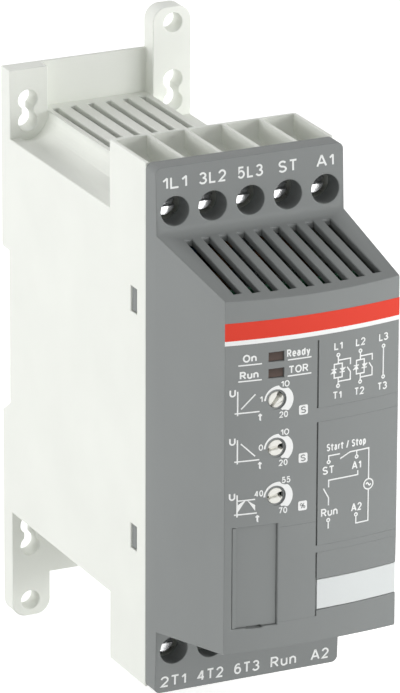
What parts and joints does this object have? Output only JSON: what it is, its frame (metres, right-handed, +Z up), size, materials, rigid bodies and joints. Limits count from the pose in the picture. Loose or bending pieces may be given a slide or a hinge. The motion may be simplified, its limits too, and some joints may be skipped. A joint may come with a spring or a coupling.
{
  "type": "soft starter",
  "caption": "Narrow motor soft starter for a wall or a 35 mm rail: light grey base with slotted vents and wire funnels, dark grey bowed front with setting dials and status windows.",
  "frame": {"origin": "middle of the back mounting plane, halfway between the two tab holes", "axes": "X to the right seen from the front, Y from the front to the wall, Z up"},
  "size_m": [0.045, 0.1146, 0.142],
  "materials": {
    "light_plastic": "fine matte moulded texture",
    "dark_plastic": "fine matte moulded texture",
    "marker_white": "smooth satin plate",
    "cream_plastic": "smooth moulded knob",
    "smoked_window": "dark clear moulding",
    "lamp_clear": "clear lamp body",
    "black_moulding": "moulded case",
    "blue_moulding": "moulded case",
    "board_green": "lacquered board",
    "zinc_steel": "zinc plated",
    "copper_bar": "tinned copper alloy strip",
    "sink_metal": "extruded",
    "ferrite": "wound core"
  },
  "bodies": {
    "housing": {"base_housing": "light_plastic", "front_cover": "dark_plastic", "marker_plate": "marker_white", "plug_socket": "black_moulding", "led_window_upper": "smoked_window", "led_window_lower": "smoked_window", "status_lamp_upper": "lamp_clear", "status_lamp_lower": "lamp_clear", "control_board": "board_green", "board_screws": "zinc_steel", "controller_chip": "black_moulding", "power_board": "board_green", "board_connector": "black_moulding", "bypass_relay_upper": "blue_moulding", "bypass_relay_lower": "blue_moulding", "heat_sink": "sink_metal", "module_screws": "zinc_steel", "thyristor_module_upper": "black_moulding", "thyristor_module_lower": "black_moulding", "supply_transformer": "ferrite", "filter_capacitor": "blue_moulding", "through_bar": "copper_bar", "trimmer_1": "blue_moulding", "trimmer_2": "blue_moulding", "trimmer_3": "blue_moulding", "terminal_bar_upper_1": "copper_bar", "terminal_bar_upper_2": "copper_bar", "terminal_bar_upper_4": "copper_bar", "terminal_bar_upper_5": "copper_bar", "terminal_bar_lower_1": "copper_bar", "terminal_bar_lower_2": "copper_bar", "terminal_bar_lower_4": "copper_bar", "terminal_bar_lower_5": "copper_bar"},
    "plug_cover": {"plug_cover": "dark_plastic"},
    "rail_latch": {"rail_latch": "black_moulding", "latch_springs": "zinc_steel"},
    "adjuster_knob_1": {"adjuster_knob_1": "cream_plastic"},
    "adjuster_knob_2": {"adjuster_knob_2": "cream_plastic"},
    "adjuster_knob_3": {"adjuster_knob_3": "cream_plastic"},
    "clamp_cage_upper_1": {"clamp_cage_upper_1": "zinc_steel"},
    "clamp_cage_upper_2": {"clamp_cage_upper_2": "zinc_steel"},
    "clamp_cage_upper_3": {"clamp_cage_upper_3": "zinc_steel"},
    "clamp_cage_upper_4": {"clamp_cage_upper_4": "zinc_steel"},
    "clamp_cage_upper_5": {"clamp_cage_upper_5": "zinc_steel"},
    "clamp_cage_lower_1": {"clamp_cage_lower_1": "zinc_steel"},
    "clamp_cage_lower_2": {"clamp_cage_lower_2": "zinc_steel"},
    "clamp_cage_lower_3": {"clamp_cage_lower_3": "zinc_steel"},
    "clamp_cage_lower_4": {"clamp_cage_lower_4": "zinc_steel"},
    "clamp_cage_lower_5": {"clamp_cage_lower_5": "zinc_steel"},
    "terminal_screw_upper_1": {"terminal_screw_upper_1": "zinc_steel"},
    "terminal_screw_upper_2": {"terminal_screw_upper_2": "zinc_steel"},
    "terminal_screw_upper_3": {"terminal_screw_upper_3": "zinc_steel"},
    "terminal_screw_upper_4": {"terminal_screw_upper_4": "zinc_steel"},
    "terminal_screw_upper_5": {"terminal_screw_upper_5": "zinc_steel"},
    "terminal_screw_lower_1": {"terminal_screw_lower_1": "zinc_steel"},
    "terminal_screw_lower_2": {"terminal_screw_lower_2": "zinc_steel"},
    "terminal_screw_lower_3": {"terminal_screw_lower_3": "zinc_steel"},
    "terminal_screw_lower_4": {"terminal_screw_lower_4": "zinc_steel"},
    "terminal_screw_lower_5": {"terminal_screw_lower_5": "zinc_steel"}
  },
  "joints": [
    {"name": "adjuster_turn_1", "type": "hinge", "parent": "housing", "child": "adjuster_knob_1", "pos_m": [-0.0093, -0.11, 0.0171], "axis": [0, -1, 0], "range_deg": [-98, 130]},
    {"name": "adjuster_turn_2", "type": "hinge", "parent": "housing", "child": "adjuster_knob_2", "pos_m": [-0.0093, -0.11, 0.00615], "axis": [0, -1, 0], "range_deg": [-55, 173]},
    {"name": "adjuster_turn_3", "type": "hinge", "parent": "housing", "child": "adjuster_knob_3", "pos_m": [-0.0093, -0.11, -0.0048], "axis": [0, -1, 0], "range_deg": [-55, 173]},
    {"name": "plug_cover_pull", "type": "slide", "parent": "housing", "child": "plug_cover", "axis": [0, -1, 0], "range_m": [0, 0.015]},
    {"name": "latch_slide", "type": "slide", "parent": "housing", "child": "rail_latch", "axis": [0, 0, -1], "range_m": [0, 0.0035], "stiffness_N_per_m": 800, "springref_m": -0.004, "deforming": ["latch_springs"]},
    {"name": "screw_turn_upper_1", "type": "hinge", "parent": "housing", "child": "terminal_screw_upper_1", "pos_m": [-0.018, -0.072, 0.0508], "axis": [0, 1, 0], "range_deg": [0, 2410]},
    {"name": "cage_rise_upper_1", "type": "slide", "parent": "housing", "child": "clamp_cage_upper_1", "axis": [0, -1, 0], "range_m": [0, 0.004]},
    {"name": "screw_turn_upper_2", "type": "hinge", "parent": "housing", "child": "terminal_screw_upper_2", "pos_m": [-0.009, -0.072, 0.0508], "axis": [0, 1, 0], "range_deg": [0, 2410]},
    {"name": "cage_rise_upper_2", "type": "slide", "parent": "housing", "child": "clamp_cage_upper_2", "axis": [0, -1, 0], "range_m": [0, 0.004]},
    {"name": "screw_turn_upper_3", "type": "hinge", "parent": "housing", "child": "terminal_screw_upper_3", "pos_m": [0, -0.072, 0.0508], "axis": [0, 1, 0], "range_deg": [0, 2410]},
    {"name": "cage_rise_upper_3", "type": "slide", "parent": "housing", "child": "clamp_cage_upper_3", "axis": [0, -1, 0], "range_m": [0, 0.004]},
    {"name": "screw_turn_upper_4", "type": "hinge", "parent": "housing", "child": "terminal_screw_upper_4", "pos_m": [0.009, -0.072, 0.0508], "axis": [0, 1, 0], "range_deg": [0, 2410]},
    {"name": "cage_rise_upper_4", "type": "slide", "parent": "housing", "child": "clamp_cage_upper_4", "axis": [0, -1, 0], "range_m": [0, 0.004]},
    {"name": "screw_turn_upper_5", "type": "hinge", "parent": "housing", "child": "terminal_screw_upper_5", "pos_m": [0.018, -0.072, 0.0508], "axis": [0, 1, 0], "range_deg": [0, 2410]},
    {"name": "cage_rise_upper_5", "type": "slide", "parent": "housing", "child": "clamp_cage_upper_5", "axis": [0, -1, 0], "range_m": [0, 0.004]},
    {"name": "screw_turn_lower_1", "type": "hinge", "parent": "housing", "child": "terminal_screw_lower_1", "pos_m": [-0.018, -0.072, -0.0508], "axis": [0, 1, 0], "range_deg": [0, 2410]},
    {"name": "cage_rise_lower_1", "type": "slide", "parent": "housing", "child": "clamp_cage_lower_1", "axis": [0, -1, 0], "range_m": [0, 0.004]},
    {"name": "screw_turn_lower_2", "type": "hinge", "parent": "housing", "child": "terminal_screw_lower_2", "pos_m": [-0.009, -0.072, -0.0508], "axis": [0, 1, 0], "range_deg": [0, 2410]},
    {"name": "cage_rise_lower_2", "type": "slide", "parent": "housing", "child": "clamp_cage_lower_2", "axis": [0, -1, 0], "range_m": [0, 0.004]},
    {"name": "screw_turn_lower_3", "type": "hinge", "parent": "housing", "child": "terminal_screw_lower_3", "pos_m": [0, -0.072, -0.0508], "axis": [0, 1, 0], "range_deg": [0, 2410]},
    {"name": "cage_rise_lower_3", "type": "slide", "parent": "housing", "child": "clamp_cage_lower_3", "axis": [0, -1, 0], "range_m": [0, 0.004]},
    {"name": "screw_turn_lower_4", "type": "hinge", "parent": "housing", "child": "terminal_screw_lower_4", "pos_m": [0.009, -0.072, -0.0508], "axis": [0, 1, 0], "range_deg": [0, 2410]},
    {"name": "cage_rise_lower_4", "type": "slide", "parent": "housing", "child": "clamp_cage_lower_4", "axis": [0, -1, 0], "range_m": [0, 0.004]},
    {"name": "screw_turn_lower_5", "type": "hinge", "parent": "housing", "child": "terminal_screw_lower_5", "pos_m": [0.018, -0.072, -0.0508], "axis": [0, 1, 0], "range_deg": [0, 2410]},
    {"name": "cage_rise_lower_5", "type": "slide", "parent": "housing", "child": "clamp_cage_lower_5", "axis": [0, -1, 0], "range_m": [0, 0.004]}
  ],
  "couplings": [
    {"joint": "screw_turn_upper_1", "follows": "cage_rise_upper_1", "rad_per_m": 10472},
    {"joint": "screw_turn_upper_2", "follows": "cage_rise_upper_2", "rad_per_m": 10472},
    {"joint": "screw_turn_upper_3", "follows": "cage_rise_upper_3", "rad_per_m": 10472},
    {"joint": "screw_turn_upper_4", "follows": "cage_rise_upper_4", "rad_per_m": 10472},
    {"joint": "screw_turn_upper_5", "follows": "cage_rise_upper_5", "rad_per_m": 10472},
    {"joint": "screw_turn_lower_1", "follows": "cage_rise_lower_1", "rad_per_m": 10472},
    {"joint": "screw_turn_lower_2", "follows": "cage_rise_lower_2", "rad_per_m": 10472},
    {"joint": "screw_turn_lower_3", "follows": "cage_rise_lower_3", "rad_per_m": 10472},
    {"joint": "screw_turn_lower_4", "follows": "cage_rise_lower_4", "rad_per_m": 10472},
    {"joint": "screw_turn_lower_5", "follows": "cage_rise_lower_5", "rad_per_m": 10472}
  ]
}
